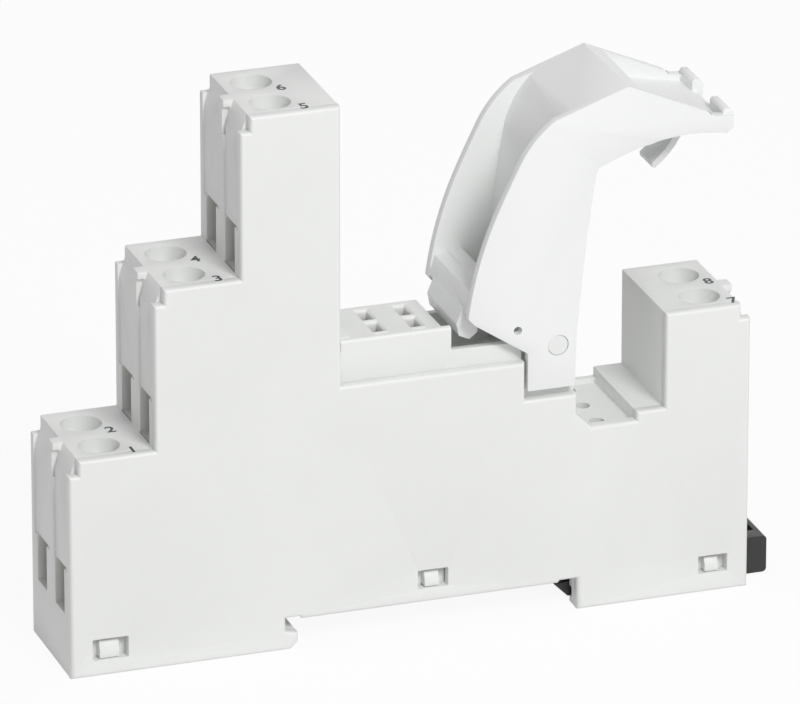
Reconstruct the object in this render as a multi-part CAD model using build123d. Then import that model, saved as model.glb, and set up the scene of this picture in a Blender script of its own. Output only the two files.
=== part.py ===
from build123d import *
import os

# Slim relay socket for a 35 mm mounting rail, in millimetres.
# X runs along the body's length, Y from the front cover to the back wall, Z up from the feet.
# Each shape is drawn with X from the left end, Y from the front face and Z from the feet,
# and is moved to the part's own origin, the middle of its base, when it is written.

# Envelope and wall thicknesses
LENGTH = 83.0
WIDTH = 15.3
COVER = 1.4
BACK_WALL = 1.4
WALL = 1.5
GAP = 0.1
HALL = (COVER, WIDTH - BACK_WALL)
MIDDLE = WIDTH / 2

# Terminal tiers: three steps on the left and a tower at the right end
STEP = 10.4
STEP_RISE = 19.7
FIRST_TOP = 27.0
TIER_TOPS = [FIRST_TOP, FIRST_TOP + STEP_RISE, FIRST_TOP + 2 * STEP_RISE, 35.8]
TIER_EDGES = [0.0, STEP, 2 * STEP, LENGTH]
TOWER = 3
STACK_END = 32.8
TOWER_START = LENGTH - 10.5
NOTCH = (1.2, 1.85)

# Two cells side by side in each tier, with an insulating plate between them
PLATE = 1.2
NEAR_CELL = (COVER, MIDDLE - PLATE / 2)
FAR_CELL = (MIDDLE + PLATE / 2, HALL[1])
CELLS = [NEAR_CELL, FAR_CELL]

# Relay seat, pocket for the lever's toe, pivot block, module well and its ledge
COVER_TOP = 32.0
SEAT_TOP = 35.8
SEAT_END = 46.6
SEAT_LIP = 37.1
SEAT_SKIN = 1.0
POCKET_FLOOR = 30.0
POCKET_RIM = 34.2
PIVOT = (59.2, 33.7)
PIVOT_RADIUS = 2.7
EAR_START = 55.2
EAR_FLOOR = 27.25
WELL_START = 61.6
WELL_FLOOR = 22.4
WELL_RIM = 22.9
LEDGE_START = 69.0
LEDGE_TOP = 24.0

# Rail slot under the body, with a fixed hook on its left
HOOK_TIP = 27.5
HOOK_ROOT = 26.0
HOOK_TOP = 2.3
SLOT_TOP = 3.65
SLOT_END = 61.8
RAIL_PAD = (28.0, 59.4)
RELIEF = 0.3

# Screw, clamp cage and clamp bar of one terminal, measured down from the tier's top
# and in from the tier's end face
SCREW_X = 4.9
WELL_DIAMETER = 4.8
HEAD_DIAMETER = 4.4
HEAD_TOP = -2.2
HEAD_HEIGHT = 1.8
SHAFT_DIAMETER = 3.0
SHAFT_BORE = 3.3
CAGE_BORE = 3.1
SCREW_TIP = -14.2
CHAMBER_ROOF = -8.5
CAGE = (6.0, 5.2, 9.4)
CAGE_BOTTOM = -20.2
CAGE_SIDE = 0.6
CAGE_HEAD = 1.8
CAGE_FLOOR = 1.0
BAR = (3.8, 0.95)
BAR_TOP = SCREW_TIP - 0.05
BAR_START = 2.1
LEG_END = 9.9
ENTRY = (3.5, 5.6)
ENTRY_TOP = -14.0

# Stamped strips, 0.8 thick, in a near, a middle and a far plane
SHEET = 0.8
STRIP = 1.5
SHELF_END = LEG_END - STRIP - GAP
ROWS = [3.9, MIDDLE, WIDTH - 3.9]
COLUMNS = [34.9, 39.5, 44.1]
RUN_HEIGHTS = [10.0, 17.0, 24.0]
COIL_RUNS = [8.4, 12.4]
COIL_CROSSING = 48.0
FORK_BASE = 28.0
FORK_TOP = 34.0
MODULE_X = 65.0
MODULE_ROWS = [2.8, MIDDLE, WIDTH - 2.8]
MODULE_HOLE = 1.8
MODULE_FORK = (17.6, 20.6)
BLADE_SLOT = (1.3, 2.8)
SLOT_MOUTH = 0.3

# Retaining lever: two side walls joined by a web, on stub pins of the housing
LEVER_WALL = 1.2
PIN_DIAMETER = 2.4
PIN_BORE = 2.52
PIN_TIP = 0.1
EYE = (54.25, 36.15)
EYE_DIAMETER = 1.0
TOE = (2.5, WIDTH - 2.5)
TONGUE = (5.5, 9.8)

# Rail clip: a bar that slides in a channel of the right foot
CHANNEL = (2.9, WIDTH - 2.9)
CHANNEL_TOP = 5.2
FLANGE = (2.4, WIDTH - 2.4)
FLANGE_Z = (1.0, 1.8)
SLIDE_GAP = 0.2
CLIP_Z = (0.5, 2.3)
CLIP_TAB = (LENGTH + 0.1, LENGTH + 3.5)
CLIP_TAB_WIDTH = 9.2
CLIP_TOP = 5.0
CLIP_TIP = 59.9

ORIGIN = ((CLIP_TAB[1]) / 2, MIDDLE)


def block(x, y, z):
    """Box between the two values of each pair."""
    middle = ((x[0] + x[1]) / 2, (y[0] + y[1]) / 2, (z[0] + z[1]) / 2)
    return Pos(*middle) * Box(x[1] - x[0], y[1] - y[0], z[1] - z[0])


def front_view(face, depth):
    """Push a face of the front view back through the two depths given."""
    plane = Plane(origin=(0, depth[0], 0), x_dir=(1, 0, 0), z_dir=(0, -1, 0))
    return extrude(plane * face, amount=depth[0] - depth[1])


def polygon(*points):
    """Face with straight sides."""
    return make_face(Polyline(*points, close=True))


def bent(start, bend, *points):
    """Smooth line of arcs: the first through three points, each next one tangent to the last."""
    arc = ThreePointArc(start, bend, points[0])
    arcs = [arc]
    for last, point in zip(points, points[1:]):
        arc = TangentArc(last, point, tangent=arc % 1)
        arcs.append(arc)
    return arcs


def upright(diameter, x, y, z):
    """Round bar or hole along Z between the two heights given."""
    return Pos(x, y, (z[0] + z[1]) / 2) * Cylinder(diameter / 2, z[1] - z[0])


def at_tier(shape, tier):
    """Move a shape drawn at the outer top corner of a tier to its place."""
    if tier == TOWER:
        shape = mirror(shape, Plane.YZ)
    return Pos(TIER_EDGES[tier], 0, TIER_TOPS[tier]) * shape


def middle_of(pair):
    return (pair[0] + pair[1]) / 2


def foot_points():
    """Underside of the body from left to right: foot, hook, rail slot with its pad, and foot."""
    return [
        (0, 0),
        (HOOK_TIP - 0.9, 0),
        (HOOK_TIP, 0.9),
        (HOOK_TIP, HOOK_TOP - 0.3),
        (HOOK_ROOT, HOOK_TOP),
        (HOOK_ROOT, SLOT_TOP + RELIEF),
        (RAIL_PAD[0] - RELIEF, SLOT_TOP + RELIEF),
        (RAIL_PAD[0], SLOT_TOP),
        (RAIL_PAD[1], SLOT_TOP),
        (RAIL_PAD[1] + RELIEF, SLOT_TOP + RELIEF),
        (SLOT_END, SLOT_TOP + RELIEF),
        (SLOT_END, 0),
        (LENGTH, 0),
    ]


def stair_points():
    """Steps of the three tiers, from the tallest down to the left end."""
    points = [(STACK_END, TIER_TOPS[2])]
    for tier in (2, 1, 0):
        points.append((TIER_EDGES[tier], TIER_TOPS[tier]))
        lower = TIER_TOPS[tier - 1] if tier else 0
        points.append((TIER_EDGES[tier], lower))
    return points[:-1]


def side_outline():
    """Outline shared by the front cover and the back wall."""
    tower = [(LENGTH, TIER_TOPS[TOWER]), (TOWER_START, TIER_TOPS[TOWER])]
    well = [(TOWER_START, LEDGE_TOP), (LEDGE_START, LEDGE_TOP), (LEDGE_START, WELL_RIM)]
    rim = [(WELL_START + NOTCH[1], WELL_RIM), (WELL_START, WELL_RIM + NOTCH[1]), (WELL_START, EAR_FLOOR)]
    seat = [(EAR_START, EAR_FLOOR), (EAR_START, COVER_TOP), (STACK_END, COVER_TOP)]
    face = polygon(*foot_points(), *tower, *well, *rim, *seat, *stair_points())
    for tier in range(TOWER):
        corner = (TIER_EDGES[tier] + NOTCH[0] / 2, TIER_TOPS[tier] - NOTCH[1] / 2)
        face -= Pos(*corner) * Rectangle(*NOTCH)
    tower_corner = (LENGTH - NOTCH[0] / 2, TIER_TOPS[TOWER] - NOTCH[1] / 2)
    face -= Pos(*tower_corner) * Rectangle(*NOTCH)
    return face


def body_outline():
    """Outline of the main moulding between the two side faces."""
    tower = [(LENGTH, TIER_TOPS[TOWER]), (TOWER_START, TIER_TOPS[TOWER])]
    well = [(TOWER_START, LEDGE_TOP), (LEDGE_START, LEDGE_TOP), (LEDGE_START, WELL_FLOOR)]
    pivot = [(WELL_START, WELL_FLOOR), (WELL_START, PIVOT[1]), (PIVOT[0] - PIVOT_RADIUS, PIVOT[1])]
    pocket = [(PIVOT[0] - PIVOT_RADIUS, POCKET_FLOOR), (SEAT_END, POCKET_FLOOR)]
    seat = [(SEAT_END, SEAT_TOP), (STACK_END, SEAT_TOP)]
    face = polygon(*foot_points(), *tower, *well, *pivot, *pocket, *seat, *stair_points())
    return face + Pos(*PIVOT) * Circle(PIVOT_RADIUS)


def hall_outline(gap=0.0):
    """Hollow inside the main moulding, one wall inside its outline."""
    inset = WALL + gap
    floor = SLOT_TOP + inset
    channel = CHANNEL_TOP + inset
    points = [(inset, floor)]
    for tier in range(TOWER):
        roof = TIER_TOPS[tier] + CHAMBER_ROOF - gap
        points.append((TIER_EDGES[tier] + inset, points[-1][1]))
        points.append((TIER_EDGES[tier] + inset, roof))
    points.append((STACK_END - inset, points[-1][1]))
    points.append((STACK_END - inset, SEAT_TOP - inset))
    points.append((SEAT_END - inset, SEAT_TOP - inset))
    points.append((SEAT_END - inset, POCKET_FLOOR - inset))
    points.append((EAR_START - inset, POCKET_FLOOR - inset))
    points.append((EAR_START - inset, EAR_FLOOR - inset))
    points.append((WELL_START - inset, EAR_FLOOR - inset))
    points.append((WELL_START - inset, WELL_FLOOR - inset))
    points.append((LEDGE_START + inset, WELL_FLOOR - inset))
    points.append((LEDGE_START + inset, LEDGE_TOP - inset))
    points.append((TOWER_START + inset, LEDGE_TOP - inset))
    points.append((TOWER_START + inset, TIER_TOPS[TOWER] + CHAMBER_ROOF - gap))
    points.append((LENGTH - inset, points[-1][1]))
    points.append((LENGTH - inset, channel))
    points.append((SLOT_END - inset, channel))
    points.append((SLOT_END - inset, floor))
    return polygon(*points[1:])


def cell_ribs(cell):
    """Shelf under each cage and barriers between the runs of one row of cells."""
    ribs = Part()
    for tier in range(TOWER):
        shelf = block((WALL, SHELF_END), cell, (CAGE_BOTTOM - WALL, CAGE_BOTTOM - GAP))
        ribs += at_tier(shelf, tier)
    for below, above in zip(RUN_HEIGHTS, RUN_HEIGHTS[1:]):
        height = (below + STRIP + above) / 2
        ribs += block((2 * STEP, STACK_END), cell, (height - PLATE / 2, height + PLATE / 2))
    return ribs


def end_face_cuts():
    """Guide grooves and wire entries in the end face of one tier."""
    funnel = polygon((-1, 1), (1.25, 1), (1.25, 0), (0.25, -3), (0.25, ENTRY_TOP), (-1, ENTRY_TOP))
    cuts = front_view(funnel, (NEAR_CELL[0], NEAR_CELL[1] - 0.75))
    cuts += front_view(funnel, (FAR_CELL[0] - 0.15, FAR_CELL[1]))
    slit = (NEAR_CELL[1] - 0.75, NEAR_CELL[1] - 0.25)
    cuts += block((-1, 0.8), slit, (-4.2, -0.9))
    for cell in CELLS:
        centre = middle_of(cell)
        width = (centre - ENTRY[0] / 2, centre + ENTRY[0] / 2)
        cuts += block((-1, WALL + 1), width, (ENTRY_TOP - ENTRY[1], ENTRY_TOP))
    return cuts


def screw_wells():
    """Counterbored wells that let a screwdriver reach the two screws of one tier."""
    wells = Part()
    for cell in CELLS:
        centre = middle_of(cell)
        shoulder = HEAD_TOP - HEAD_HEIGHT - GAP
        wells += upright(WELL_DIAMETER, SCREW_X, centre, (shoulder, 1))
        wells += upright(SHAFT_BORE, SCREW_X, centre, (CHAMBER_ROOF - 1, shoulder + GAP))
    return wells


def blade_slots():
    """Slots of the seat that take the relay's blades, each with a bevelled mouth."""
    places = [(column, row) for column in COLUMNS for row in (ROWS[0], ROWS[2])]
    places += [(column, ROWS[1]) for column in COLUMNS[1:]]
    width, length = BLADE_SLOT
    mouth = Box(width + 2 * SLOT_MOUTH, length + 2 * SLOT_MOUTH, 2 * SLOT_MOUTH)
    mouth = chamfer(mouth.faces().sort_by(Axis.Z)[0].edges(), SLOT_MOUTH)
    slot = mouth + Pos(0, 0, -WALL) * Box(width, length, 2 * WALL + 1)
    slots = Part()
    for column, row in places:
        slots += Pos(column, row, SEAT_TOP) * slot
    return slots


def snap_windows():
    """Left and right ends, bottom and top of each snap window of the cover."""
    return [((2.6, 6.9), (2.0, 4.6)), ((42.1, 45.8), (5.4, 7.7)), ((76.8, 80.4), (2.4, 4.6))]


def snap_tab(x, z):
    """Hooked tab of the main moulding that catches in one window of the cover."""
    profile = Polyline(
        (COVER, z[0] + GAP),
        (0.25, z[0] + GAP),
        (0.25, z[0] + 0.9),
        (0.7, z[1] - 0.4),
        (COVER, z[1] - 0.4),
        close=True,
    )
    plane = Plane(origin=(x[0] + 0.9, 0, 0), x_dir=(0, 1, 0), z_dir=(1, 0, 0))
    return extrude(plane * make_face(profile), amount=x[1] - x[0] - 1.9)


def rear_housing():
    """Main moulding: back wall, tiers, seat, pivot block, module well and feet."""
    back = front_view(side_outline(), (HALL[1], WIDTH))
    back = chamfer(back.faces().sort_by(Axis.Y)[-1].edges(), 0.35)
    body = front_view(body_outline(), HALL) + back
    body -= front_view(hall_outline(), HALL)
    body += cell_ribs(FAR_CELL)
    for tier in range(TOWER + 1):
        body -= at_tier(end_face_cuts(), tier)
        body -= at_tier(screw_wells(), tier)
    for side in (COVER, HALL[1] - SEAT_SKIN):
        skin = (STACK_END - WALL, SEAT_END)
        body += block(skin, (side, side + SEAT_SKIN), (COVER_TOP - WALL, SEAT_TOP))
        wall = (SEAT_END - WALL, EAR_START)
        body += block(wall, (side, side + SEAT_SKIN), (POCKET_FLOOR - WALL, POCKET_RIM))
    lip = block((STACK_END + 0.4, SEAT_END), (COVER, COVER + SEAT_SKIN), (SEAT_TOP, SEAT_LIP))
    body += fillet(lip.edges().filter_by(Axis.X).group_by(Axis.Z)[-1], 0.4)
    body -= blade_slots()
    for row in MODULE_ROWS:
        body -= upright(MODULE_HOLE, MODULE_X, row, (WELL_FLOOR - WALL - 1, WELL_FLOOR + 1))
    body += pivot_pins()
    body -= block((SLOT_END - 1, LENGTH + 1), CHANNEL, (-1, CHANNEL_TOP))
    groove = (FLANGE[0] - SLIDE_GAP, FLANGE[1] + SLIDE_GAP)
    height = (FLANGE_Z[0] - SLIDE_GAP, FLANGE_Z[1] + SLIDE_GAP)
    body -= block((SLOT_END - 1, LENGTH + 1), groove, height)
    post_x, post_z = snap_windows()[1]
    body += block(post_x, (COVER, COVER + 1.6), (SLOT_TOP + WALL - 0.5, post_z[1]))
    for x, z in snap_windows():
        body += snap_tab(x, z)
    for height, start in zip(RUN_HEIGHTS, reversed(COLUMNS)):
        body += strip_pad(start - 5, height, (ROWS[2] + SHEET / 2, HALL[1]))
    return body


def pivot_pins():
    """Two stub pins that carry the lever."""
    pin = Plane(origin=(PIVOT[0], PIN_TIP, PIVOT[1]), z_dir=(0, 1, 0))
    return extrude(pin * Circle(PIN_DIAMETER / 2), amount=WIDTH - 2 * PIN_TIP)


def strip_pad(x, height, depth):
    """Pad that steadies a strip's run."""
    return block((x - 1.2, x + 1.2), depth, (height - 0.5, height + STRIP + 0.5))


def front_cover():
    """Flat cover that closes the front, held by three snap tabs."""
    cover = front_view(side_outline(), (0, COVER))
    cover = fillet(cover.faces().sort_by(Axis.Y)[0].edges(), 0.5)
    for x, z in snap_windows():
        cover -= block(x, (-1, COVER + 1), z)
    for height, start in zip(RUN_HEIGHTS, reversed(COLUMNS)):
        cover += strip_pad(start - 5, height, (COVER, ROWS[0] - SHEET / 2))
    return cover


def middle_frame():
    """Insulating plate between the two cells of the three left tiers, with shelves."""
    plate = front_view(hall_outline(GAP), (NEAR_CELL[1], FAR_CELL[0]))
    plate &= block((0, STACK_END + 0.4), (0, WIDTH), (0, TIER_TOPS[2]))
    ribs = cell_ribs((NEAR_CELL[0] + GAP, NEAR_CELL[1]))
    ribs -= block((0, WALL + GAP), (0, WIDTH), (0, TIER_TOPS[0]))
    return plate + ribs


def tower_divider():
    """Insulating plate between the two cells of the tower."""
    plate = front_view(hall_outline(GAP), (NEAR_CELL[1], FAR_CELL[0]))
    plate &= block((TOWER_START + WALL + GAP, LENGTH), (0, WIDTH), (0, TIER_TOPS[TOWER]))
    width = (NEAR_CELL[0] + GAP, FAR_CELL[1] - GAP)
    shelf = block((WALL + GAP, SHELF_END), width, (CAGE_BOTTOM - WALL, CAGE_BOTTOM - GAP))
    return plate + at_tier(shelf, TOWER)


def terminal_screw(cell):
    """Captive screw with a slotted head."""
    radius = HEAD_DIAMETER / 2
    shaft = SHAFT_DIAMETER / 2
    shoulder = HEAD_TOP - HEAD_HEIGHT
    half = Polyline(
        (0, SCREW_TIP),
        (shaft, SCREW_TIP),
        (shaft, shoulder),
        (radius, shoulder),
        (radius, HEAD_TOP),
        (0, HEAD_TOP),
        close=True,
    )
    screw = revolve(Plane.XZ * make_face(half), Axis.Z)
    screw -= Pos(0, 0, HEAD_TOP) * Box(HEAD_DIAMETER, 0.8, 1.6)
    return Pos(SCREW_X, middle_of(cell), 0) * screw


def clamp_cage(cell):
    """Folded cage that the screw pulls up, so that it presses a wire to the bar."""
    outer = chamfer(Box(*CAGE).edges().filter_by(Axis.X), 0.4)
    window_height = CAGE[2] - CAGE_HEAD - CAGE_FLOOR
    window = Box(CAGE[0] + 1, CAGE[1] - 2 * CAGE_SIDE, window_height)
    cage = outer - Pos(0, 0, (CAGE_FLOOR - CAGE_HEAD) / 2) * window
    cage -= Pos(0, 0, CAGE[2] / 2) * Cylinder(CAGE_BORE / 2, 2 * CAGE_HEAD + 1)
    return Pos(SCREW_X, middle_of(cell), CAGE_BOTTOM + CAGE[2] / 2) * cage


def clamp_bar(cell):
    """Flat bar inside the cage, at the top of the leg that carries it."""
    centre = middle_of(cell)
    width = (centre - BAR[0] / 2, centre + BAR[0] / 2)
    return block((BAR_START, LEG_END), width, (BAR_TOP - BAR[1], BAR_TOP))


def fork(column, row, base, top):
    """Two springy leaves that grip a blade, on a short yoke."""
    leaf = polygon((0.35, 0), (0.75, 0), (0.95, 0.5), (0.65, 0.8), (0.95, 1), (0.6, 1), (0.25, 0.8), (0.5, 0.5))
    height = top - base - SHEET
    leaf = scale(leaf, by=(1, height, 1))
    pair = leaf + mirror(leaf, Plane.YZ)
    depth = (row - BLADE_SLOT[1] / 2, row + BLADE_SLOT[1] / 2)
    leaves = Pos(column, 0, base + SHEET) * front_view(pair, depth)
    yoke = block((column - 0.75, column + 0.75), depth, (base, base + SHEET))
    return leaves + yoke


def run(x, z, row):
    """Flat length of strip in the plane of one row."""
    return block(x, (row - SHEET / 2, row + SHEET / 2), z)


def contact_strip(tier, side):
    """One stamped strip from a clamp bar down, along and up to its fork."""
    row = ROWS[2 * side]
    height = RUN_HEIGHTS[tier]
    column = COLUMNS[TOWER - 1 - tier]
    leg_right = TIER_EDGES[tier] + LEG_END
    riser_right = column + STRIP / 2
    strip = at_tier(clamp_bar(CELLS[side]), tier)
    strip += run((leg_right - STRIP, leg_right), (height, TIER_TOPS[tier] + BAR_TOP), row)
    strip += run((leg_right - STRIP, riser_right), (height, height + STRIP), row)
    strip += run((riser_right - STRIP, riser_right), (height, FORK_BASE + SHEET), row)
    return strip + fork(column, row, FORK_BASE, FORK_TOP)


def coil_strip(side):
    """Strip from a clamp of the tower to a coil fork and to the module's fork."""
    row = ROWS[2 * side]
    module_row = MODULE_ROWS[2 * side]
    height = COIL_RUNS[side]
    column = COLUMNS[1 + side]
    leg_left = LENGTH - LEG_END
    top = height + STRIP
    crossing = (COIL_CROSSING, COIL_CROSSING + STRIP)
    strip = at_tier(clamp_bar(CELLS[side]), TOWER)
    strip += run((leg_left, leg_left + STRIP), (height, TIER_TOPS[TOWER] + BAR_TOP), row)
    strip += run((COIL_CROSSING, leg_left + STRIP), (height, top), row)
    reach = sorted((row, ROWS[1]))
    strip += block(crossing, (reach[0] - SHEET / 2, reach[1] + SHEET / 2), (height, top))
    strip += run((column - STRIP / 2, COIL_CROSSING + STRIP), (height, top), ROWS[1])
    strip += run((column - STRIP / 2, column + STRIP / 2), (height, FORK_BASE + SHEET), ROWS[1])
    strip += run((MODULE_X - STRIP / 2, MODULE_X + STRIP / 2), (height, MODULE_FORK[0] + SHEET), row)
    strip += fork(column, ROWS[1], FORK_BASE, FORK_TOP)
    return strip + fork(MODULE_X, module_row, *MODULE_FORK)


def lever_side():
    """Side wall of the lever in the front view: ear, blade, arm and lug."""
    back = bent((48.2, 38.3), (49.3, 43.9), (51.9, 51.2), (54.5, 56.6), (58.8, 61.5))
    top = Polyline((58.8, 61.5), (67.6, 64.6), (77.2, 60.4), (77.8, 59.8), (77.9, 61.4))
    lug = bent((77.9, 61.4), (78.7, 62.05), (79.7, 61.7), (79.8, 57.3))
    belly = bent((79.8, 57.3), (75.0, 57.75), (68.0, 56.4), (63.2, 50.5))
    front = Polyline((63.2, 50.5), (62.5, 45.1), (61.5, 35.3), (61.3, 28.4))
    ear = Polyline((61.3, 28.4), (55.5, 28.4), (55.5, 33.1), (48.9, 37.5), (48.2, 38.3))
    return make_face(Curve() + [*back, top, *lug, *belly, front, ear])


def lever_web():
    """Bent sheet between the side walls: back of the blade and top of the arm."""
    outer = bent((50.4, 40.6), (51.9, 46.8), (54.3, 52.6), (57.4, 58.3), (60.3, 61.3))
    inner = bent((52.0, 40.6), (53.4, 46.4), (55.7, 51.8), (58.5, 57.3), (61.0, 60.2))
    top = Polyline((60.3, 61.3), (67.6, 64.4), (70.0, 63.3), (77.4, 59.0))
    under = Polyline((61.0, 60.2), (67.5, 62.9), (69.4, 62.0), (76.8, 57.8))
    ends = [Line((50.4, 40.6), (52.0, 40.6)), Line((77.4, 59.0), (76.8, 57.8))]
    return make_face(Curve() + [*outer, *inner, top, under, *ends])


def retaining_clip():
    """White lever that holds the relay down and lifts it out."""
    inside = (LEVER_WALL, WIDTH - LEVER_WALL)
    wall = front_view(lever_side(), (0, LEVER_WALL))
    wall -= front_view(Pos(*PIVOT) * Circle(PIN_BORE / 2), (-1, LEVER_WALL + 1))
    wall -= front_view(Pos(*EYE) * Circle(EYE_DIAMETER / 2), (-1, LEVER_WALL + 1))
    clip = wall + Pos(0, WIDTH - LEVER_WALL, 0) * wall
    clip += front_view(lever_web(), inside)
    bar = polygon((48.35, 38.5), (49.0, 41.0), (52.4, 41.4), (52.0, 40.2), (50.2, 38.5))
    clip += front_view(bar, inside)
    toe = polygon((48.4, 38.8), (47.6, 36.9), (47.9, 35.4), (49.2, 34.8), (50.2, 35.6), (50.2, 38.8))
    clip += front_view(toe, TOE)
    spine = Curve() + bent((77.0, 58.6), (76.4, 55.6), (74.5, 53.8), (72.8, 50.4))
    clip += front_view(trace(spine, 1.1), TONGUE)
    return clip


def rail_clip():
    """Black clip that slides in the right foot, with two bowed springs on its bar."""
    guide = (CHANNEL[0] + SLIDE_GAP, CHANNEL[1] - SLIDE_GAP)
    clip = block((62.2, CLIP_TAB[0] + 1), guide, CLIP_Z)
    clip += block((62.2, LENGTH), FLANGE, FLANGE_Z)
    latch = polygon((CLIP_TIP, 2.3), (62.6, 2.3), (62.6, 0.5), (61.7, 0.5))
    clip += front_view(latch, guide)
    tab_width = (MIDDLE - CLIP_TAB_WIDTH / 2, MIDDLE + CLIP_TAB_WIDTH / 2)
    tab = block(CLIP_TAB, tab_width, (CLIP_Z[0] - 0.3, CLIP_TOP - 0.2))
    tab = fillet(tab.edges().filter_by(Axis.Y).sort_by(Axis.X)[-2:], 0.5)
    slot = block((CLIP_TAB[0] + 1.2, CLIP_TAB[1] - 0.9), (MIDDLE - 2.5, MIDDLE + 2.5), (-1, CLIP_TOP + 1))
    clip += tab - slot
    root = block((64.0, 66.0), (MIDDLE - 1.6, MIDDLE + 1.6), (CLIP_Z[1], CLIP_TOP - 0.2))
    clip += root
    bow = ThreePointArc((65.5, MIDDLE + 1.2), (71.8, MIDDLE + 3.8), (79.0, MIDDLE + 1.6))
    spring = extrude(Pos(0, 0, CLIP_Z[1]) * trace(bow, 0.8), amount=CLIP_TOP - 0.4 - CLIP_Z[1])
    return clip + spring + mirror(spring, Plane(origin=(0, MIDDLE, 0), z_dir=(0, 1, 0)))


def all_pieces():
    """Every piece of the socket with its name."""
    pieces = {
        "rear_housing": rear_housing(),
        "front_cover": front_cover(),
        "middle_frame": middle_frame(),
        "tower_divider": tower_divider(),
        "retaining_clip": retaining_clip(),
        "rail_clip": rail_clip(),
    }
    for tier in range(TOWER + 1):
        for side, cell in enumerate(CELLS):
            number = 2 * tier + side + 1
            pieces[f"terminal_screw_{number}"] = at_tier(terminal_screw(cell), tier)
            pieces[f"clamp_cage_{number}"] = at_tier(clamp_cage(cell), tier)
            if tier == TOWER:
                pieces[f"coil_strip_{side + 1}"] = coil_strip(side)
            else:
                pieces[f"contact_strip_{number}"] = contact_strip(tier, side)
    return pieces


os.makedirs("parts", exist_ok=True)
for name, piece in all_pieces().items():
    export_step(Pos(-ORIGIN[0], -ORIGIN[1], 0) * piece, f"parts/{name}.step")
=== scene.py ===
# %% [markdown]
# # A slim relay socket for a mounting rail
# The socket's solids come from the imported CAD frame, in metres, so every piece is already
# in its place. This lesson gives them what a camera sees: soft moulded edges, the grain of
# each plastic, cut screw heads and threads, small printed terminal numbers, a camera and light.

# %% Load the frame
from math import atan2, cos, pi, radians, sin

import bpy
from mathutils import Euler, Matrix, Vector


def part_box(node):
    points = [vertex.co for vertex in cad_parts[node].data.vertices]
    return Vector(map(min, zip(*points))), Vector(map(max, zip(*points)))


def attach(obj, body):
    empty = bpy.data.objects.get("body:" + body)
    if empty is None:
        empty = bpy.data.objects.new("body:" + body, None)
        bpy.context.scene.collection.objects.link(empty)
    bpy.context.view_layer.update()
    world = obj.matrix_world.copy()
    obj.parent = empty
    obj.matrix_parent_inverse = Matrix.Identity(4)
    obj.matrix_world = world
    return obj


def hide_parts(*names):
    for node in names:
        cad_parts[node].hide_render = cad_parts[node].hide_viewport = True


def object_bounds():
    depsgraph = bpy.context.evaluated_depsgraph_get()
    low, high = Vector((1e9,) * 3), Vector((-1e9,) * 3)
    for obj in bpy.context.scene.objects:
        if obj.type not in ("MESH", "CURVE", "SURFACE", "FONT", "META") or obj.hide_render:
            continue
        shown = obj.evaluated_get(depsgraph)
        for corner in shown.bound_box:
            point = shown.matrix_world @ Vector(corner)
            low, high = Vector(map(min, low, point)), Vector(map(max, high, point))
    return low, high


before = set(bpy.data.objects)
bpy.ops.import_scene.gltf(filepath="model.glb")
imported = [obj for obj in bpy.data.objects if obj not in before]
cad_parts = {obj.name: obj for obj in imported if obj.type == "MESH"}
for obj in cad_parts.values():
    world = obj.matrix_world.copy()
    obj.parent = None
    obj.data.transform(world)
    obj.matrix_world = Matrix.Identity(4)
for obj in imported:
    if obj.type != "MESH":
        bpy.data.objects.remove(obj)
cad_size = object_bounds()
print("solids span", [round(v * 1000, 1) for v in cad_size[1] - cad_size[0]], "mm")

# %% [markdown]
# ## Camera
# The photograph was taken from far away: upright edges stay upright and parallel edges
# barely close in. A long lens does the same. The camera turns 19 degrees to the left of the
# front and looks down by 22, and a point inside the body is put where the photograph has it.

# %% Camera
MM = 0.001
TURN = radians(-19.011)
TILT = radians(22.241)
AIM = Vector((-1.75, -0.05, 32.4)) * MM
DISTANCE = 1.1554
SHIFT_ACROSS = 0.945 * MM
SHIFT_DOWN = 0.1 * MM
facing = Euler((pi / 2 - TILT, 0, TURN))
across = Vector((cos(TURN), sin(TURN), 0))
back = Vector((sin(TURN) * cos(TILT), -cos(TURN) * cos(TILT), sin(TILT)))
up = back.cross(across)

lens = bpy.data.cameras.new("photo_camera")
lens.sensor_width = 36
lens.lens = 450  # both in millimetres, as on a real camera
camera = bpy.data.objects.new("photo_camera", lens)
camera.location = AIM + back * DISTANCE + across * SHIFT_ACROSS - up * SHIFT_DOWN
camera.rotation_euler = facing
bpy.context.scene.collection.objects.link(camera)
bpy.context.scene.camera = camera
print("camera at", [round(v, 3) for v in camera.location])

# %% [markdown]
# ## Small helpers
# Operators act on whatever is selected, and the imported solids start out selected. So
# each step first selects one piece alone, and then picks its faces or edges by place.

# %% Helpers for selecting and finishing
def alone(piece):
    """Select one piece and make it the active one."""
    bpy.ops.object.select_all(action="DESELECT")
    piece.select_set(True)
    bpy.context.view_layer.objects.active = piece


def edit(piece, mode="VERT"):
    """Select one piece and clear the selection inside its mesh, ready for pick."""
    alone(piece)
    bpy.ops.object.mode_set(mode="EDIT")
    bpy.ops.mesh.select_mode(type=mode)
    bpy.ops.mesh.select_all(action="DESELECT")
    bpy.ops.object.mode_set(mode="OBJECT")


def pick(piece, kind, test):
    """Select the faces or edges of a piece that pass a test, and open edit mode."""
    for part in getattr(piece.data, kind):
        if test(part):
            part.select = True
    bpy.ops.object.mode_set(mode="EDIT")


def edit_all(piece):
    """Open a piece in edit mode with everything selected."""
    edit(piece)
    bpy.ops.object.mode_set(mode="EDIT")
    bpy.ops.mesh.select_all(action="SELECT")


def close_edit():
    bpy.ops.object.mode_set(mode="OBJECT")


def join_flats(piece, gap=2e-6):
    """Merge points closer than the gap in metres, and join triangles that lie flat together."""
    edit_all(piece)
    bpy.ops.mesh.remove_doubles(threshold=gap)
    bpy.ops.mesh.dissolve_limited(angle_limit=radians(0.4))
    close_edit()


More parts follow.
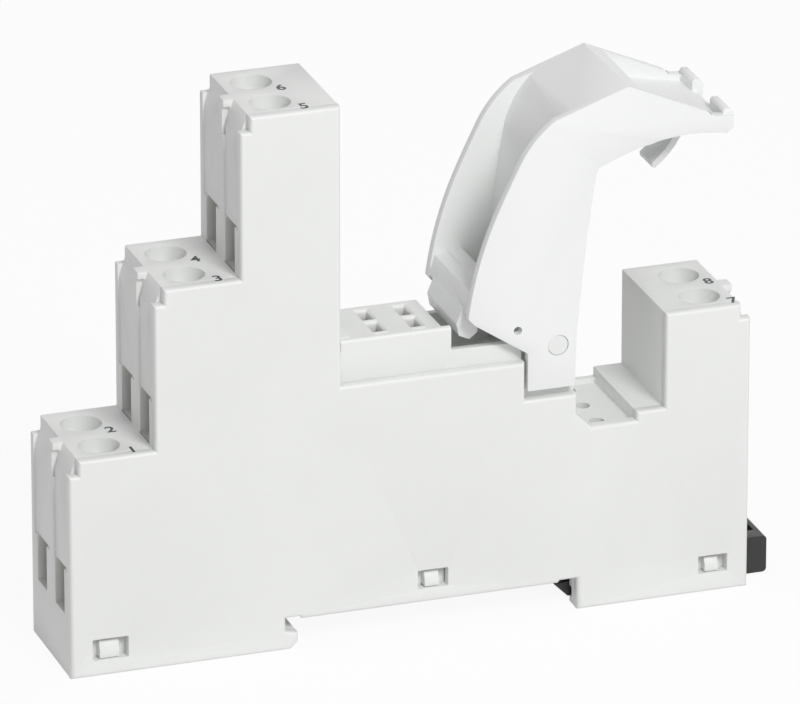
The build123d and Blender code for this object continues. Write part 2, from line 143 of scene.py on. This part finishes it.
def face_outwards(piece):
    """Turn every face of a closed piece outwards."""
    edit_all(piece)
    bpy.ops.mesh.normals_make_consistent(inside=False)
    close_edit()


def apply_modifiers(piece):
    """Make a piece's modifiers part of its mesh."""
    alone(piece)
    for modifier in list(piece.modifiers):
        bpy.ops.object.modifier_apply(modifier=modifier.name)


def settle(piece):
    """Leave the piece at the origin, unturned and unscaled, with its place in its mesh."""
    alone(piece)
    bpy.ops.object.transform_apply(location=True, rotation=True, scale=True)


print("helpers ready")

# %% [markdown]
# ## Sums on sockets
# A finish is a small sum: a base value, plus a little grain, times a mask. Written as plain
# expressions it reads like that sum, so one class stands for a socket and turns each
# operator into a Math node. Every other node comes from one method.

# %% A socket that takes part in sums, and a finish that holds the nodes
class Wire:
    """One output socket of a finish."""

    def __init__(self, finish, socket):
        self.finish = finish
        self.socket = socket

    def sum_with(self, operation, first, second):
        inputs = {0: first, 1: second}
        return self.finish.add("ShaderNodeMath", {"operation": operation}, inputs)

    def __add__(self, other):
        return self.sum_with("ADD", self, other)

    def __radd__(self, other):
        return self.sum_with("ADD", other, self)

    def __sub__(self, other):
        return self.sum_with("SUBTRACT", self, other)

    def __rsub__(self, other):
        return self.sum_with("SUBTRACT", other, self)

    def __mul__(self, other):
        return self.sum_with("MULTIPLY", self, other)

    def __rmul__(self, other):
        return self.sum_with("MULTIPLY", other, self)


class Finish:
    """The nodes of a material or of the world, built one by one."""

    def __init__(self, owner):
        owner.use_nodes = True
        self.owner = owner
        self.tree = owner.node_tree
        self.tree.nodes.clear()

    def add(self, kind, settings=None, inputs=None, output=0):
        """Add one node: its settings first, then the values or links of its sockets."""
        node = self.tree.nodes.new(kind)
        for name, value in (settings or {}).items():
            setattr(node, name, value)
        for key, value in (inputs or {}).items():
            if isinstance(value, Wire):
                self.tree.links.new(value.socket, node.inputs[key])
            else:
                node.inputs[key].default_value = value
        return Wire(self, node.outputs[output]) if len(node.outputs) else None

    def place(self):
        """Where a point is on the piece, in metres."""
        return self.add("ShaderNodeTexCoord", output="Object")

    def noise(self, size, detail=2.0, **settings):
        """Even noise whose spots are about the size given in millimetres."""
        inputs = {"Vector": self.place(), "Scale": 1000 / size, "Detail": detail, **settings}
        return self.add("ShaderNodeTexNoise", None, inputs)

    def blend(self, mask, first, second):
        """First colour where the mask is 0, second where it is 1."""
        inputs = {0: mask, 6: first, 7: second}
        return self.add("ShaderNodeMix", {"data_type": "RGBA"}, inputs, output=2)

    def bump(self, height, depth, strength=1.0, normal=None):
        """Surface normal over a height from 0 to 1 that stands for a depth in millimetres."""
        inputs = {"Height": height, "Distance": depth * MM, "Strength": strength}
        if normal:
            inputs["Normal"] = normal
        return self.add("ShaderNodeBump", None, inputs, output="Normal")

    def close(self, **sockets):
        """End the finish with one surface shader."""
        inputs = {name.replace("_", " "): value for name, value in sockets.items()}
        shader = self.add("ShaderNodeBsdfPrincipled", None, inputs, output="BSDF")
        self.add("ShaderNodeOutputMaterial", None, {"Surface": shader})
        return self.owner


def new_finish(name):
    return Finish(bpy.data.materials.new(name))


# %% [markdown]
# ## Moulded plastic
# The housing is satin polyamide from a spark-eroded mould. Close to, such a face has an even
# grain about a tenth of a millimetre wide, and a very faint cloudiness where the melt
# flowed. Noise at those two sizes gives both, and one function serves the white, the grey
# and the black parts with their own colour, gloss and depth of grain.

# %% Plastic finishes
def moulded_plastic(name, colour, shade, roughness, grain):
    """Satin plastic: its colour, a slightly darker cloud colour, gloss and grain depth."""
    finish = new_finish(name)
    cloud = finish.noise(14, detail=3, Distortion=0.6)
    speck = finish.noise(0.35, detail=2)
    tint = finish.blend(cloud * 0.7 + speck * 0.3, (*colour, 1), (*shade, 1))
    fine = finish.noise(0.11, detail=2)
    broad = finish.noise(1.1, detail=2)
    height = fine * 0.8 + broad * 0.2
    return finish.close(
        Base_Color=tint,
        Roughness=roughness + (cloud - 0.5) * 0.12 + (fine - 0.5) * 0.1,
        Normal=finish.bump(height, grain),
        IOR=1.5,
    )


housing_white = moulded_plastic(
    "housing_white", (0.80, 0.81, 0.80), (0.74, 0.75, 0.735), 0.46, 0.010
)
insert_grey = moulded_plastic(
    "insert_grey", (0.72, 0.73, 0.71), (0.66, 0.67, 0.65), 0.5, 0.012
)
lever_white = moulded_plastic(
    "lever_white", (0.84, 0.85, 0.845), (0.80, 0.81, 0.80), 0.38, 0.007
)
latch_black = moulded_plastic(
    "latch_black", (0.016, 0.016, 0.018), (0.028, 0.028, 0.030), 0.42, 0.014
)
print("plastic finishes", [m.name for m in (housing_white, insert_grey, lever_white, latch_black)])

# %% [markdown]
# ## Metal parts
# The screws and clamp cages are zinc plated steel and the strips are stamped brass. Plating
# is never even: it is a little milky in patches and has fine drawn lines. Stretching the
# noise along one axis gives the lines, and the patches change both colour and gloss.

# %% Metal finishes
def plated_metal(name, colour, dull, roughness, lines):
    """Metal with cloudy patches and fine lines stretched along one axis."""
    finish = new_finish(name)
    drawn = finish.add("ShaderNodeMapping", None, {"Vector": finish.place(), "Scale": lines})
    inputs = {"Vector": drawn, "Scale": 1000 / 0.09, "Detail": 2}
    streak = finish.add("ShaderNodeTexNoise", None, inputs)
    patch = finish.noise(1.6, detail=3)
    return finish.close(
        Base_Color=finish.blend(patch, (*colour, 1), (*dull, 1)),
        Metallic=1.0,
        Roughness=roughness + (patch - 0.5) * 0.16 + (streak - 0.5) * 0.12,
        Normal=finish.bump(streak, 0.003),
    )


screw_zinc = plated_metal("screw_zinc", (0.74, 0.74, 0.72), (0.60, 0.61, 0.61), 0.28, (1, 1, 0.15))
cage_zinc = plated_metal("cage_zinc", (0.62, 0.62, 0.60), (0.50, 0.50, 0.50), 0.34, (1, 0.1, 1))
strip_brass = plated_metal("strip_brass", (0.80, 0.62, 0.32), (0.66, 0.50, 0.26), 0.3, (1, 1, 0.12))
print("metal finishes", [m.name for m in (screw_zinc, cage_zinc, strip_brass)])

# %% [markdown]
# ## Inner pieces keep their solids
# The insulating plates, clamp cages and strips already have the right shape and are only
# seen through slots and wells, so they stay as they are and just take their finish.

# %% Finish the solids that stay
def dress(node, finish):
    """Give a solid of the frame one finish."""
    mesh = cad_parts[node].data
    mesh.materials.clear()
    mesh.materials.append(finish)


numbers = range(1, 9)
for number in numbers:
    dress(f"clamp_cage_{number}", cage_zinc)
for number in numbers[:6]:
    dress(f"contact_strip_{number}", strip_brass)
for number in (1, 2):
    dress(f"coil_strip_{number}", strip_brass)
for node in ("middle_frame", "tower_divider"):
    dress(node, insert_grey)
print("dressed", len(numbers) + 6 + 2 + 2, "inner solids")

# %% [markdown]
# ## Mouldings with soft edges
# No moulded edge is perfectly sharp: it has a radius of a tenth of a millimetre or more,
# and that thin line of light is most of what tells plastic from cardboard. The edges could
# be rounded by hand, but there are thousands. A copy of each solid is merged instead, its
# flat triangles are joined, and a Bevel modifier rounds the edges. The copy first loses the
# stored normals of the solid, which would shade the new faces black.

# %% Copy a solid with its flat faces joined
def merged_copy(node, name, finish):
    """Copy of a solid with its loose triangles merged and its flat faces joined."""
    piece = bpy.data.objects.new(name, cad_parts[node].data.copy())
    bpy.context.scene.collection.objects.link(piece)
    alone(piece)
    bpy.ops.mesh.customdata_custom_splitnormals_clear()
    join_flats(piece)
    piece.data.materials.clear()
    piece.data.materials.append(finish)
    return piece


moulded = {
    "housing": merged_copy("rear_housing", "housing_moulding", housing_white),
    "cover": merged_copy("front_cover", "cover_moulding", housing_white),
    "latch": merged_copy("rail_clip", "latch_moulding", latch_black),
}
print("merged", {name: len(piece.data.polygons) for name, piece in moulded.items()})

# %% [markdown]
# ## Which edges can be rounded
# An edge is rounded where its two faces turn by more than an angle. Next to a very short
# edge there is no room for the radius, and the rounded strips would run over each other.
# So each edge gets a bevel weight of 1 or 0 from both tests, and the modifier follows it.

# %% Weigh the edges
ROOMY = 2


def weigh_edges(piece, radius, angle):
    """Mark the sharp edges that have room for the radius at both ends."""
    mesh = piece.data
    normals = {}
    for face in mesh.polygons:
        for key in face.edge_keys:
            normals.setdefault(key, []).append(face.normal)
    points = [vertex.co for vertex in mesh.vertices]
    shortest = {}
    for edge in mesh.edges:
        length = (points[edge.vertices[0]] - points[edge.vertices[1]]).length
        for number in edge.vertices:
            shortest[number] = min(shortest.get(number, length), length)
    weights = mesh.attributes.new("bevel_weight_edge", "FLOAT", "EDGE")
    for edge in mesh.edges:
        sides = normals[edge.key]
        sharp = len(sides) == 2 and sides[0].angle(sides[1], 0) > radians(angle)
        room = min(shortest[number] for number in edge.vertices) > ROOMY * radius * MM
        weights.data[edge.index].value = 1.0 if sharp and room else 0.0


print("an edge needs", ROOMY, "times its radius at each end")

# %% [markdown]
# ## Flat parts with holes
# Blender has no face with a hole, so a flat part with slots in it is several faces that meet
# along inner edges. Rounding a rim can push it across such an edge, and the face is then
# drawn wrongly. It shows in the numbers: its triangles cover more than its area. Such a part
# is deleted and its rims are filled afresh, which also works round holes.

# %% Fill flat parts again
CROSSED = 0.05 * MM * MM
MOST_REPAIRS = 30


def crossed_face(mesh):
    """Number of a face whose triangles cover more than its area, or None."""
    mesh.calc_loop_triangles()
    covered = [0.0] * len(mesh.polygons)
    for triangle in mesh.loop_triangles:
        covered[triangle.polygon_index] += triangle.area
    for face in mesh.polygons:
        if len(face.vertices) > 4 and covered[face.index] - face.area > CROSSED:
            return face.index
    return None


def fill_again(piece):
    """Fill afresh each flat part whose inner edges were crossed when its rim was rounded."""
    for repairs in range(MOST_REPAIRS):
        number = crossed_face(piece.data)
        if number is None:
            break
        edit(piece, "FACE")
        pick(piece, "polygons", lambda face: face.index == number)
        bpy.ops.mesh.faces_select_linked_flat(sharpness=radians(0.5))
        bpy.ops.mesh.delete(type="FACE")
        bpy.ops.mesh.select_mode(type="EDGE")
        bpy.ops.mesh.select_non_manifold()
        bpy.ops.mesh.fill(use_beauty=True)
        close_edit()
        face_outwards(piece)
    return repairs


print("a part is filled again past", round(CROSSED / MM / MM, 3), "square mm")

# %% [markdown]
# ## Housing, cover and rail latch
# The housing and the rail latch get a radius of a tenth of a millimetre, and the thin cover
# a little less. Two segments are enough for an edge that is a pixel wide. Smooth shading
# stops at the same angle, so the broad faces stay flat.

# %% Round the three mouldings
def round_edges(piece, radius, angle=32):
    """Round each roomy edge that turns by more than the angle, and smooth the rest."""
    weigh_edges(piece, radius, angle)
    bevel = piece.modifiers.new("edge", "BEVEL")
    bevel.width = radius * MM
    bevel.segments = 2
    bevel.limit_method = "WEIGHT"
    bevel.use_clamp_overlap = False
    bevel.miter_outer = "MITER_ARC"
    apply_modifiers(piece)
    repairs = fill_again(piece)
    alone(piece)
    bpy.ops.object.shade_smooth_by_angle(angle=radians(angle))
    print(piece.name, len(piece.data.polygons), "faces,", repairs, "flat parts filled again")
    return piece


housing = round_edges(moulded["housing"], 0.1)
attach(housing, "socket_body")
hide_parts("rear_housing")

cover = round_edges(moulded["cover"], 0.08)
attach(cover, "socket_body")
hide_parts("front_cover")

latch = round_edges(moulded["latch"], 0.1)
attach(latch, "rail_latch")
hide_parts("rail_clip")

# %% [markdown]
# ## The lever
# The photograph looks into the back of the lever. The web between its two side walls is
# flush with them at the shoulder, and then turns down into a deep hollow that lies in the
# near wall's shadow. Each arm ends in a short flange that is turned inwards, and a slim
# tongue hangs below. The solid has a simpler web, so its copy is cut and built up with
# plates: a plate is an outline of the front view, drawn as a flat curve, filled, given its
# width and made a mesh. Its numbers are millimetres from the left end and from the feet.

# %% Plates drawn in the front view
LEFT_END = 43.25
FRONT = 7.65
ARC_STEPS = 7


def arc(start, middle, end):
    """Points along the circle through three points."""
    a, b, c = (Vector(point) for point in (start, middle, end))
    ab, ac = b - a, c - a
    # The centre is where the lines that halve ab and ac at right angles meet.
    twice_cross = 2 * ab.cross(ac)
    centre = a + Vector((
        (ac.y * ab.length_squared - ab.y * ac.length_squared) / twice_cross,
        (ab.x * ac.length_squared - ac.x * ab.length_squared) / twice_cross,
    ))
    first, last = a - centre, c - centre
    sweep = atan2(first.cross(last), first.dot(last))
    turns = [Matrix.Rotation(sweep * step / ARC_STEPS, 2) for step in range(ARC_STEPS + 1)]
    return [tuple(centre + turn @ first) for turn in turns]


def plate(name, outline, low, high):
    """Outline in the front view, filled and given its place in depth from low to high."""
    line = bpy.data.curves.new(name, "CURVE")
    line.dimensions = "2D"
    line.fill_mode = "BOTH"
    line.extrude = (high - low) / 2 * MM
    spline = line.splines.new("POLY")
    spline.points.add(len(outline) - 1)
    for point, (x, z) in zip(spline.points, outline):
        point.co = ((x - LEFT_END) * MM, z * MM, 0, 1)
    spline.use_cyclic_u = True
    piece = bpy.data.objects.new(name, line)
    bpy.context.scene.collection.objects.link(piece)
    piece.rotation_euler = (pi / 2, 0, 0)
    piece.location.y = ((low + high) / 2 - FRONT) * MM
    alone(piece)
    bpy.ops.object.convert(target="MESH")
    piece = bpy.context.active_object
    settle(piece)
    join_flats(piece, gap=1e-6)
    face_outwards(piece)
    return piece


def combine(piece, tool, operation):
    """Cut a tool away from a piece or fuse it on, and remove the tool."""
    step = piece.modifiers.new("step", "BOOLEAN")
    step.operation = operation
    step.solver = "EXACT"
    step.object = tool
    apply_modifiers(piece)
    bpy.data.objects.remove(tool)


print("an arc has", ARC_STEPS, "straight steps")

# %% [markdown]
# ## Back to the two side walls
# The walls of the lever are right as they are, so only what lies between them goes: the
# simple back, the top of the arm and the old bumps and tongue at its end. One cut passes
# through both walls and gives the elbow its sharper corner.

# %% Cut the lever back to its walls
INSIDE = (1.2, 14.1)
ACROSS = (-1, 16.3)
lever = merged_copy("retaining_clip", "lever_moulding", lever_white)
back_hollow = [
    (46, 41.42), (53.6, 41.42), (54.6, 46.2), (56.6, 51.4),
    (59.3, 56.9), (61.2, 59.6), (60.6, 65), (46, 65),
]
arm_hollow = [(69.4, 66), (69.4, 57.2), (70, 50), (81, 50), (81, 66)]
old_bumps = [(77.0, 60.49), (78.2, 59.7), (81, 59.4), (81, 63), (77, 63)]
under_elbow = [
    (63.2, 50.4), (63.75, 54.2), *arc((64.15, 55.0), (67.0, 56.15), (70.0, 57.1)), (71, 55), (66, 49),
]
combine(lever, plate("back_hollow", back_hollow, *INSIDE), "DIFFERENCE")
combine(lever, plate("arm_hollow", arm_hollow, *INSIDE), "DIFFERENCE")
combine(lever, plate("old_bumps", old_bumps, *ACROSS), "DIFFERENCE")
combine(lever, plate("under_elbow", under_elbow, *ACROSS), "DIFFERENCE")
print("lever walls", len(lever.data.polygons), "faces")

# %% [markdown]
# ## Web, flanges and tongue
# One plate is the whole web: down the hollow, over the shoulder and out along the arm. It
# reaches a little into both walls, so that the union has no faces in one plane, and stands
# too high at the shoulder. A cut along the roof then takes web and walls down together, and
# they end flush, as in the photograph.

# %% Build up the lever's web, flanges and tongue
WEB_DEPTH = (0.6, 14.7)
NEAR_FLANGE = (0.4, 4.8)
FAR_FLANGE = (10.5, 14.9)
TONGUE_DEPTH = (5.6, 9.7)
web = [
    (79.9, 58.7), (75.0, 59.6), *arc((71.2, 60.5), (69.9, 61.2), (69.4, 62.6)), (69.4, 65.5), (62.2, 63.2),
    *arc((60.6, 61.85), (58.5, 59.0), (57.3, 55.0)), *arc((57.1, 54.0), (56.2, 47.6), (55.7, 41.0)),
    *arc((56.9, 41.0), (57.4, 47.4), (58.4, 54.2)), *arc((58.6, 55.0), (59.9, 58.6), (62.2, 60.9)),
    (66.6, 62.4), (68.0, 61.9), (69.0, 60.4), (70.2, 59.7), (75.0, 58.7), (79.9, 57.8),
]
roof = [(57.6, 61.04), (67.6, 64.56), (78.4, 59.82), (78.4, 67), (57.6, 67)]
flange = [(79.3, 57.4), (80.7, 57.6), (80.75, 59.4), (80.3, 60.15), (79.6, 60.25), (79.3, 59.9)]
tongue = [
    *arc((76.4, 58.9), (74.9, 55.0), (72.55, 52.5)), (72.6, 52.0),
    *arc((73.0, 51.8), (75.6, 54.5), (77.3, 58.7)),
]
combine(lever, plate("web", web, *WEB_DEPTH), "UNION")
combine(lever, plate("roof", roof, *ACROSS), "DIFFERENCE")
combine(lever, plate("near_flange", flange, *NEAR_FLANGE), "UNION")
combine(lever, plate("far_flange", flange, *FAR_FLANGE), "UNION")
combine(lever, plate("tongue", tongue, *TONGUE_DEPTH), "UNION")
print("lever built up", len(lever.data.polygons), "faces")

# %% [markdown]
# ## Soft edges on the lever
# The cuts and unions leave stray points and triangles, so the flat faces are joined once
# more before the edges are rounded.

# %% Round the lever's edges
join_flats(lever)
round_edges(lever, 0.1)
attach(lever, "lever")
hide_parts("retaining_clip")

# %% [markdown]
# ## Terminal screws
# Each terminal has an M3 screw whose head takes a flat or a cross driver. The head starts
# as a cylinder with a bevelled rim and a shallow dish, the slot and cross are cut with a
# Boolean, and the thread is a small triangle carried round by the Screw modifier. One screw
# is modelled and copied to the other seven wells.

# %% Head of the screw
HEAD_RADIUS = 2.2 * MM
HEAD_HEIGHT = 1.8 * MM
HEAD_BEVEL = 0.2 * MM
RIM = 0.25 * MM
DISH_SLOPE = 0.5 * MM
DISH_DEPTH = 0.06 * MM
NEAR = 1e-6


def centre_of(node):
    """Centre of a solid's box, and the box's two corners."""
    low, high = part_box(node)
    return (low + high) / 2, low, high


first, first_low, first_high = centre_of("terminal_screw_1")
top = first_high.z
bpy.ops.mesh.primitive_cylinder_add(
    vertices=48, radius=HEAD_RADIUS, depth=HEAD_HEIGHT, location=(first.x, first.y, top - HEAD_HEIGHT / 2)
)
screw = bpy.context.active_object
screw.name = "screw_1_head"
settle(screw)
edit(screw, "FACE")
pick(screw, "polygons", lambda face: face.normal.z > 0.9)
bpy.ops.mesh.inset(thickness=RIM)
bpy.ops.mesh.inset(thickness=DISH_SLOPE)
bpy.ops.transform.translate(value=(0, 0, -DISH_DEPTH))
close_edit()


def on_rim(edge):
    """Whether both ends of an edge lie on the outer circle at the top of the head."""
    ends = [screw.data.vertices[number].co for number in edge.vertices]
    outward = [(end - Vector((first.x, first.y, end.z))).length for end in ends]
    return min(outward) > HEAD_RADIUS * 0.99 and min(end.z for end in ends) > top - NEAR


edit(screw, "EDGE")
pick(screw, "edges", on_rim)
bpy.ops.mesh.bevel(offset=HEAD_BEVEL, segments=3)
close_edit()
print("head faces", len(screw.data.polygons))

# %% [markdown]
# ## Slot and cross
# A flat driver needs a slot right across the head, and a cross driver a second, shorter and
# deeper one. Each is a long block with soft lower edges that a Boolean takes out of the head.

# %% Slot and cross of the screw
SLOT = (4.6, 0.7, 1.5)
CROSS = (0.7, 2.5, 1.9)


def cutter(size):
    """Block that removes one arm of the drive from the head."""
    bpy.ops.mesh.primitive_cube_add(size=1, location=(first.x, first.y, top))
    block = bpy.context.active_object
    block.scale = [v * MM for v in size]
    settle(block)
    edit(block, "EDGE")
    pick(block, "edges", lambda edge: all(block.data.vertices[n].co.z < top for n in edge.vertices))
    bpy.ops.mesh.bevel(offset=0.08 * MM, segments=2)
    close_edit()
    return block


for size in (SLOT, CROSS):
    combine(screw, cutter(size), "DIFFERENCE")
round_edges(screw, 0.04, angle=30)
print("head with its drive", len(screw.data.polygons))

# %% [markdown]
# ## Shank and thread
# The shank is a cylinder as thick as the bottom of the thread, with a small bevel at its
# tip. It reaches up into the head, so that no gap shows. The thread starts as a single
# upright triangle, half sunk in the shank and almost as far out as an M3 screw's radius.

# %% Shank and thread of the screw
SHAFT_RADIUS = 1.5 * MM
THREAD_DEPTH = 0.27 * MM
PROFILE_RADIUS = 0.2 * MM
INTO_HEAD = 0.2 * MM
TIP_BEVEL = 0.3 * MM
shank_length = first_high.z - HEAD_HEIGHT - first_low.z
bpy.ops.mesh.primitive_cylinder_add(
    vertices=32,
    radius=SHAFT_RADIUS - THREAD_DEPTH,
    depth=shank_length + INTO_HEAD,
    location=(first.x, first.y, first_low.z + (shank_length + INTO_HEAD) / 2),
)
shank = bpy.context.active_object
settle(shank)


def at_tip(edge):
    """Whether both ends of an edge lie at the lower end of the shank."""
    return max(shank.data.vertices[number].co.z for number in edge.vertices) < first_low.z + NEAR


edit(shank, "EDGE")
pick(shank, "edges", at_tip)
bpy.ops.mesh.bevel(offset=TIP_BEVEL, segments=1)
close_edit()

bpy.ops.mesh.primitive_circle_add(
    vertices=3, radius=PROFILE_RADIUS, fill_type="NGON", rotation=(pi / 2, 0, 0),
    location=(SHAFT_RADIUS - PROFILE_RADIUS, 0, 0),
)
thread = bpy.context.active_object
settle(thread)
tip = max(vertex.co.x for vertex in thread.data.vertices)
print("thread profile reaches", round(tip / MM, 3), "mm")

# %% [markdown]
# ## Winding the thread
# The Screw modifier carries the triangle round and up by one pitch at each turn. Its two
# ends stay open, so they are filled, and the faces are turned outwards. Then head, shank
# and thread are joined into one piece.

# %% Carry the thread round and close the screw
PITCH = 0.5 * MM
TIP_GAP = 0.35 * MM
turns = int(shank_length / PITCH) - 1
spin = thread.modifiers.new("pitch", "SCREW")
spin.axis = "Z"
spin.steps = 20
spin.render_steps = 20
spin.iterations = turns
spin.screw_offset = PITCH
spin.use_merge_vertices = False
apply_modifiers(thread)
thread.location = (first.x, first.y, first_low.z + TIP_GAP)
settle(thread)
edit_all(thread)
bpy.ops.mesh.remove_doubles(threshold=1e-7)
bpy.ops.mesh.select_all(action="DESELECT")
bpy.ops.mesh.select_non_manifold()
bpy.ops.mesh.edge_face_add()
close_edit()
face_outwards(thread)
alone(thread)
bpy.ops.object.shade_smooth_by_angle(angle=radians(40))
alone(shank)
bpy.ops.object.shade_smooth_by_angle(angle=radians(30))

alone(screw)
shank.select_set(True)
thread.select_set(True)
bpy.ops.object.join()
screw.data.materials.clear()
screw.data.materials.append(screw_zinc)
print("screw", len(screw.data.polygons), "faces,", turns, "turns of thread")

# %% [markdown]
# ## Eight screws
# Every screw is a copy with its own mesh, moved to its well. On a real socket no two slots
# point the same way, so each copy is also turned by its own angle about its axis.

# %% Place the eight screws
SLOT_TURNS = (20, 75, 130, 40, 100, 160, 60, 15)


def place_screw(number, turn):
    """Copy the screw to one well, turned about its own axis."""
    middle, low, _ = centre_of(f"terminal_screw_{number}")
    piece = bpy.data.objects.new(f"screw_{number}_cut", screw.data.copy())
    bpy.context.scene.collection.objects.link(piece)
    piece.location = (-first.x, -first.y, 0)
    settle(piece)
    piece.rotation_euler = (0, 0, radians(turn))
    settle(piece)
    piece.location = (middle.x, middle.y, low.z - first_low.z)
    settle(piece)
    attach(piece, f"screw_{number}")
    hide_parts(f"terminal_screw_{number}")


for number, turn in zip(numbers, SLOT_TURNS):
    place_screw(number, turn)
bpy.data.objects.remove(screw)
print("placed", len(SLOT_TURNS), "screws")

# %% [markdown]
# ## Terminal numbers
# Small printed marks stand in front of the screw wells, towards the right. Plain numbers
# from one to eight do that job here. Each is typed as text, made a little bolder, given a
# hair's thickness like a layer of ink, made a mesh, and laid on the tier.

# %% Printed terminal numbers
ink = moulded_plastic("ink_dark", (0.045, 0.05, 0.055), (0.08, 0.085, 0.09), 0.55, 0.002)
NUMBER_SIZE = 2.3 * MM
BOLDER = 0.05 * MM
INK = 0.006 * MM
BESIDE_NEAR_WELL = Vector((3.2, -2.6, 0)) * MM
BESIDE_FAR_WELL = Vector((2.6, -3.0, 0)) * MM
ABOVE_HEAD = 2.2 * MM


def print_number(number):
    """Lay one number in front of its screw well, towards the right."""
    middle, _, high = centre_of(f"terminal_screw_{number}")
    bpy.ops.object.text_add(location=(0, 0, 0))
    mark = bpy.context.active_object
    mark.data.body = str(number)
    mark.data.size = NUMBER_SIZE
    mark.data.offset = BOLDER
    mark.data.align_x = "CENTER"
    mark.data.align_y = "CENTER"
    mark.data.extrude = INK
    alone(mark)
    bpy.ops.object.convert(target="MESH")
    mark = bpy.context.active_object
    mark.name = f"number_{number}"
    beside = BESIDE_NEAR_WELL if number % 2 else BESIDE_FAR_WELL
    mark.location = Vector((middle.x, middle.y, high.z + ABOVE_HEAD + INK)) + beside
    settle(mark)
    mark.data.materials.clear()
    mark.data.materials.append(ink)
    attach(mark, "socket_body")


for number in numbers:
    print_number(number)
print("printed numbers 1 to", numbers[-1])

# %% [markdown]
# ## Floor and sky
# The photograph shows pure white round the object and almost no shadow. Camera rays, and
# the glossy and transmitted ones, see the floor and the sky as white, so plastic and metal
# reflect white too. All other rays see a quieter sky, so the object itself is lit at a
# plain level. The floor lets a little of its own shading through and keeps a soft shadow.

# %% Floor and sky
FLOOR_SIZE = 8
FLOOR_GLOW = 0.92
bpy.ops.mesh.primitive_plane_add(size=FLOOR_SIZE, location=(0, 0, cad_size[0].z))
floor = bpy.context.active_object
floor.name = "floor"
settle(floor)


def seen_directly(finish):
    """1 on camera, glossy and transmitted rays and 0 on the rest."""
    camera_ray = finish.add("ShaderNodeLightPath", output="Is Camera Ray")
    glossy_ray = finish.add("ShaderNodeLightPath", output="Is Glossy Ray")
    clear_ray = finish.add("ShaderNodeLightPath", output="Is Transmission Ray")
    total = camera_ray + glossy_ray + clear_ray
    return finish.add("ShaderNodeMath", {"operation": "MINIMUM"}, {0: total, 1: 1.0})


def pale_floor():
    finish = new_finish("floor_white")
    matt = finish.add("ShaderNodeBsdfDiffuse", None, {"Color": (0.86, 0.86, 0.86, 1)})
    white = finish.add("ShaderNodeEmission", None, {"Color": (1, 1, 1, 1), "Strength": 1.0})
    mask = seen_directly(finish) * FLOOR_GLOW
    both = finish.add("ShaderNodeMixShader", None, {0: mask, 1: matt, 2: white})
    finish.add("ShaderNodeOutputMaterial", None, {"Surface": both})
    return finish.owner


floor.data.materials.append(pale_floor())

SKY = 0.45
world = bpy.data.worlds.new("studio")
bpy.context.scene.world = world
sky = Finish(world)
level = seen_directly(sky) * (1 - SKY) + SKY
background = sky.add("ShaderNodeBackground", None, {"Color": (1, 1, 1, 1), "Strength": level})
sky.add("ShaderNodeOutputWorld", None, {"Surface": background})
print("sky level", SKY)

# %% [markdown]
# ## Lamp
# In the photograph the broad front is brightest, the tops a little darker, and the faces
# towards the left are clearly in shade, with dark crescents at the right of each well. So
# one soft lamp stands in front and above, a little to the right, and the sky does the rest.

# %% Lamp
def soft_lamp(name, direction, size, watts, distance=1.0):
    """Square lamp that looks at the object from a direction."""
    light = bpy.data.lights.new(name, "AREA")
    light.size = size
    light.energy = watts
    lamp = bpy.data.objects.new(name, light)
    towards = Vector(direction).normalized()
    lamp.location = AIM + towards * distance
    lamp.rotation_euler = towards.to_track_quat("Z", "Y").to_euler()
    bpy.context.scene.collection.objects.link(lamp)


KEY_WATTS = 5.95
KEY_SIZE = 0.3
KEY_FROM = (0.10, -0.73, 0.66)
soft_lamp("key", KEY_FROM, KEY_SIZE, KEY_WATTS)
bpy.context.scene.view_settings.view_transform = "Standard"
print("key lamp", KEY_WATTS, "watts")
